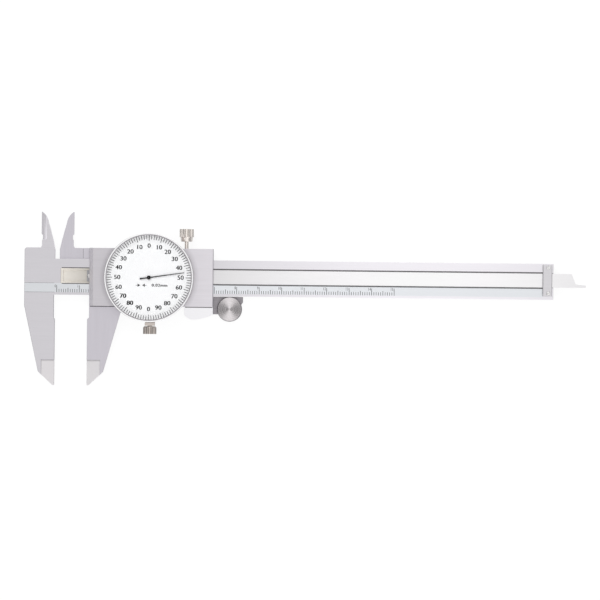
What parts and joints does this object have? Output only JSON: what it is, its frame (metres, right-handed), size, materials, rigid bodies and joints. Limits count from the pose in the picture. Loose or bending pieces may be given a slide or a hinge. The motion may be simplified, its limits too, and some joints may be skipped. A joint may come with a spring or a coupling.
{
  "type": "dial caliper",
  "caption": "Dial caliper with fixed and sliding jaws for outside and inside sizes, a depth bar, a geared dial, a thumb roller and a lock screw.",
  "frame": {"origin": "centre of the fixed outside jaw's flat measuring face", "axes": "+X along the beam from the fixed jaw to the depth bar's end, +Y towards the inside jaws, +Z out of the dial; the caliper lies flat on its back plate"},
  "size_m": [0.2496, 0.0771, 0.0149],
  "materials": {
    "satin_steel": "fine ground, satin",
    "bar_steel": "ground bright",
    "rack_steel": "cut teeth, dull",
    "screw_steel": "turned, bright",
    "turned_steel": "turned in fine rings",
    "nickel_plate": "warm nickel plate on brass",
    "brass": "plain machined",
    "bezel_chrome": "polished",
    "dial_enamel": "matt white enamel",
    "pointer_black": "satin black",
    "crystal": "clear, polished"
  },
  "bodies": {
    "beam": {"beam": "satin_steel", "rack": "rack_steel", "rack_screws": "screw_steel", "end_plate": "satin_steel", "end_plate_screws": "screw_steel"},
    "slider": {"slider_frame": "satin_steel", "gib_strip": "brass", "gib_screws": "screw_steel", "back_plate": "satin_steel", "back_plate_screws": "screw_steel", "roller_bracket": "satin_steel", "bracket_screws": "screw_steel", "depth_bar": "bar_steel", "depth_bar_screws": "screw_steel", "roller_pin": "screw_steel", "dial_housing": "nickel_plate", "housing_screws": "screw_steel", "pivot_bushes": "brass", "movement_pillars": "brass", "bridge_plate": "brass", "bridge_screws": "screw_steel"},
    "bezel": {"bezel_ring": "bezel_chrome", "dial_face": "dial_enamel", "crystal": "crystal"},
    "drive_wheel": {"rack_pinion_arbor": "rack_steel", "main_wheel": "brass", "take_up_wheel": "brass", "take_up_spring": "rack_steel"},
    "pointer": {"centre_arbor": "rack_steel", "pointer": "pointer_black"},
    "thumb_roller": {"thumb_roller": "turned_steel"},
    "lock_screw": {"lock_screw": "nickel_plate", "lock_tip": "brass"},
    "bezel_clamp": {"bezel_clamp_screw": "nickel_plate"}
  },
  "joints": [
    {"name": "slider_travel", "type": "slide", "parent": "beam", "child": "slider", "axis": [1, 0, 0], "range_m": [-0.01445, 0.1375]},
    {"name": "drive_wheel_spin", "type": "hinge", "parent": "slider", "child": "drive_wheel", "pos_m": [0.03295, 0.0278, 0], "axis": [0, 0, 1], "continuous": true},
    {"name": "pointer_spin", "type": "hinge", "parent": "slider", "child": "pointer", "pos_m": [0.04195, 0.0278, 0], "axis": [0, 0, 1], "continuous": true},
    {"name": "thumb_roller_spin", "type": "hinge", "parent": "slider", "child": "thumb_roller", "pos_m": [0.07775, 0.01412, 0], "axis": [0, 0, 1], "continuous": true},
    {"name": "bezel_turn", "type": "hinge", "parent": "slider", "child": "bezel", "pos_m": [0.04195, 0.0278, 0], "axis": [0, 0, 1], "continuous": true},
    {"name": "lock_screw_turn", "type": "hinge", "parent": "slider", "child": "lock_screw", "pos_m": [0.05835, 0.0418, 0.0006], "axis": [0, 1, 0], "range_deg": [-45, 270]},
    {"name": "bezel_clamp_turn", "type": "hinge", "parent": "slider", "child": "bezel_clamp", "pos_m": [0.04255, 0.0068, 0.0076], "axis": [0, 1, 0], "range_deg": [-270, 45]}
  ],
  "couplings": [
    {"joint": "drive_wheel_spin", "follows": "slider_travel", "rad_per_m": 628.32},
    {"joint": "pointer_spin", "follows": "slider_travel", "rad_per_m": -3141.6},
    {"joint": "thumb_roller_spin", "follows": "slider_travel", "rad_per_m": 176.99}
  ]
}
